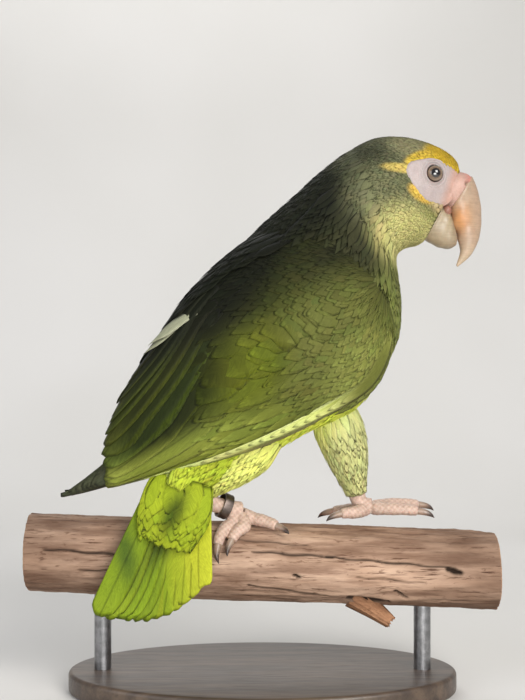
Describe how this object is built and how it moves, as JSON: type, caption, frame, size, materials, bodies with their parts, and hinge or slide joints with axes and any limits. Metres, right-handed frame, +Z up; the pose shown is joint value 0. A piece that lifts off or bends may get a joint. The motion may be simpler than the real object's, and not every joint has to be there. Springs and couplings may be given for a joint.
{
  "type": "yellow-faced amazon parrot on a perch",
  "caption": "Life-size green parrot with a yellow face, striding along a cut branch with its tail hung in front, on a plain display stand.",
  "frame": {"origin": "middle of the stand base's underside, on the floor", "axes": "+Z up; +X the way the parrot faces, along the branch; -Y on its right side, towards the side with the hanging tail"},
  "size_m": [0.22, 0.1, 0.2647],
  "materials": {
    "head_plumage": "short scaled feathers, green with yellow face markings",
    "body_plumage": "soft overlapping contour feathers, dark olive above and yellow-green below",
    "wing_plumage": "coverts in rows over long flight feathers with paler edges",
    "tail_plumage": "lime tail feathers with a shaft down each",
    "thigh_plumage": "loose yellow feathers",
    "foot_skin": "pinkish scaled skin",
    "claw_horn": "dark curved claws",
    "cere_skin": "bare pink skin with two nostrils",
    "bill_horn": "pale horn with an orange flush and fine growth lines",
    "eye_glass": "wet eye with a grey-brown iris",
    "ring_metal": "worn plain closed band",
    "branch_wood": "weathered, cracked, barkless wood",
    "stand_wood": "dark satin base",
    "stand_metal": "plain satin rods"
  },
  "bodies": {
    "root": {"head": "head_plumage", "neck": "body_plumage", "trunk": "body_plumage", "wing_left_coverts": "wing_plumage", "wing_left_primaries": "wing_plumage", "wing_left_secondaries": "wing_plumage", "wing_right_coverts": "wing_plumage", "wing_right_primaries": "wing_plumage", "wing_right_secondaries": "wing_plumage", "tail": "tail_plumage", "undertail_coverts": "tail_plumage", "thigh_left": "thigh_plumage", "thigh_right": "thigh_plumage", "shank_left": "foot_skin", "shank_right": "foot_skin", "toe_left_back_inner": "foot_skin", "toe_left_back_outer": "foot_skin", "toe_left_inner": "foot_skin", "toe_left_outer": "foot_skin", "toe_right_ahead": "foot_skin", "toe_right_back": "foot_skin", "toe_right_inner": "foot_skin", "toe_right_outer": "foot_skin", "claw_left_back_inner": "claw_horn", "claw_left_back_outer": "claw_horn", "claw_left_inner": "claw_horn", "claw_left_outer": "claw_horn", "claw_right_ahead": "claw_horn", "claw_right_back": "claw_horn", "claw_right_inner": "claw_horn", "claw_right_outer": "claw_horn", "cere": "cere_skin", "upper_bill": "bill_horn", "lower_bill": "bill_horn", "eye_left": "eye_glass", "eye_right": "eye_glass", "leg_ring": "ring_metal", "perch": "branch_wood", "stand_base": "stand_wood", "stand_rod_left": "stand_metal", "stand_rod_right": "stand_metal"}
  },
  "joints": []
}
